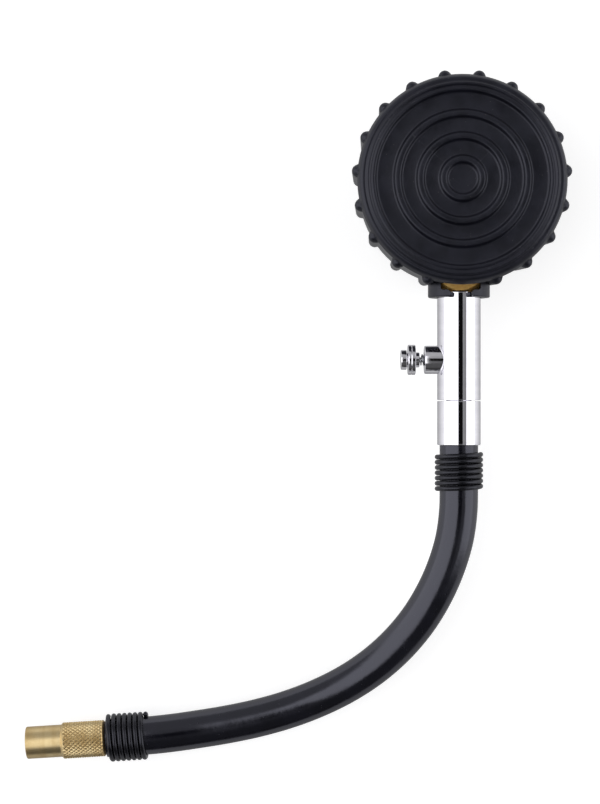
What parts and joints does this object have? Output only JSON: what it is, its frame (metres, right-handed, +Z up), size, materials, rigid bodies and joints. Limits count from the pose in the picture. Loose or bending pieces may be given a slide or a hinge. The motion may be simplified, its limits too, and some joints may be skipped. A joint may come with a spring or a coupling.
{
  "type": "dial tyre pressure gauge",
  "caption": "Round dial tyre pressure gauge in a ribbed rubber boot, with a bleed valve, a short swivelling hose and a screw-on chuck.",
  "frame": {"origin": "centre of the footprint of the gauge, stem and ferrule, without the hose, on the surface that the dial side rests on", "axes": "+Z up out of the boot's back, +Y from the hose end to the round head, +X completes a right-handed frame; the hose curves towards -X"},
  "size_m": [0.1698, 0.215, 0.036],
  "materials": {
    "boot_rubber": "matte moulded rubber",
    "hose_rubber": "smooth satin rubber",
    "seal_rubber": "soft seal rubber",
    "chrome": "polished chrome plate",
    "steel": "plain bright steel",
    "black_spring": "glossy black spring wire",
    "brass": "machined brass",
    "pale_brass": "satin turned brass",
    "clear_lens": "clear moulded lens",
    "dial_paint": "matt white enamel with black scale",
    "pointer_paint": "red enamel"
  },
  "bodies": {
    "gauge_body": {"rubber_boot": "boot_rubber", "gauge_case": "steel", "bezel_ring": "chrome", "lens": "clear_lens", "lens_gasket": "seal_rubber", "dial_plate": "dial_paint", "dial_screw_1": "steel", "dial_screw_2": "steel", "stop_pin": "steel", "movement_front_plate": "brass", "movement_back_plate": "brass", "movement_pillar_1": "brass", "movement_pillar_2": "brass", "movement_pillar_3": "brass", "movement_screw_1": "steel", "movement_screw_2": "steel", "hairspring": "steel", "bourdon_tube": "brass", "brass_socket": "brass", "stem_body": "chrome", "bleed_valve_body": "chrome", "bleed_spring": "steel"},
    "pointer_arbor": {"pointer": "pointer_paint", "pinion_arbor": "brass"},
    "sector": {"sector_gear": "brass"},
    "tip": {"tube_tip": "brass"},
    "link": {"link": "brass"},
    "bleed_push": {"bleed_button": "chrome", "bleed_pin": "steel", "bleed_seal": "seal_rubber"},
    "hose_end": {"swivel_ferrule": "chrome", "hose_barb": "brass", "swivel_o_ring": "seal_rubber", "swivel_snap_ring": "steel", "check_valve_retainer": "brass", "check_valve_spring": "steel", "hose": "hose_rubber", "upper_spring_clamp": "black_spring", "lower_spring_clamp": "black_spring", "chuck_barb": "pale_brass", "chuck_pin": "brass"},
    "check_poppet": {"check_valve_poppet": "brass"},
    "chuck_nut": {"chuck_sleeve": "pale_brass", "chuck_seal": "seal_rubber"}
  },
  "joints": [
    {"name": "bleed_press", "type": "slide", "parent": "gauge_body", "child": "bleed_push", "axis": [1, 0, 0], "range_m": [0, 0.0012], "stiffness_N_per_m": 1500, "springref_m": -0.001, "deforming": ["bleed_spring"]},
    {"name": "hose_swivel", "type": "hinge", "parent": "gauge_body", "child": "hose_end", "pos_m": [0, -0.04335, 0.019], "axis": [0, 1, 0], "continuous": true},
    {"name": "check_lift", "type": "slide", "parent": "hose_end", "child": "check_poppet", "axis": [0, 1, 0], "range_m": [0, 0.001], "stiffness_N_per_m": 300, "springref_m": -0.001, "deforming": ["check_valve_spring"]},
    {"name": "chuck_spin", "type": "hinge", "parent": "hose_end", "child": "chuck_nut", "pos_m": [-0.11085, -0.1502, 0.00755], "axis": [-0.9981, -0.061, 0], "continuous": true},
    {"name": "sector_swing", "type": "hinge", "parent": "gauge_body", "child": "sector", "pos_m": [-0.00625, 0.01317, 0.0144], "axis": [0, 0, 1], "range_deg": [-30, 0], "stiffness_Nm_per_rad": 0.002},
    {"name": "pointer_spin", "type": "hinge", "parent": "gauge_body", "child": "pointer_arbor", "pos_m": [0, 0.024, 0.008], "axis": [0, 0, 1], "range_deg": [0, 270], "deforming": ["hairspring"]},
    {"name": "tip_shift", "type": "slide", "parent": "gauge_body", "child": "tip", "axis": [-0.4829, 0.8757, 0], "range_m": [0, 0.0025], "deforming": ["bourdon_tube"]},
    {"name": "link_swing", "type": "hinge", "parent": "tip", "child": "link", "pos_m": [-0.01504, 0.02025, 0.0156], "axis": [0, 0, 1], "range_deg": [-3.4, 0]}
  ],
  "couplings": [
    {"joint": "pointer_spin", "follows": "sector_swing", "ratio": -9},
    {"joint": "tip_shift", "follows": "sector_swing", "m_per_rad": -0.004711},
    {"joint": "link_swing", "follows": "sector_swing", "ratio": 0.10546}
  ]
}
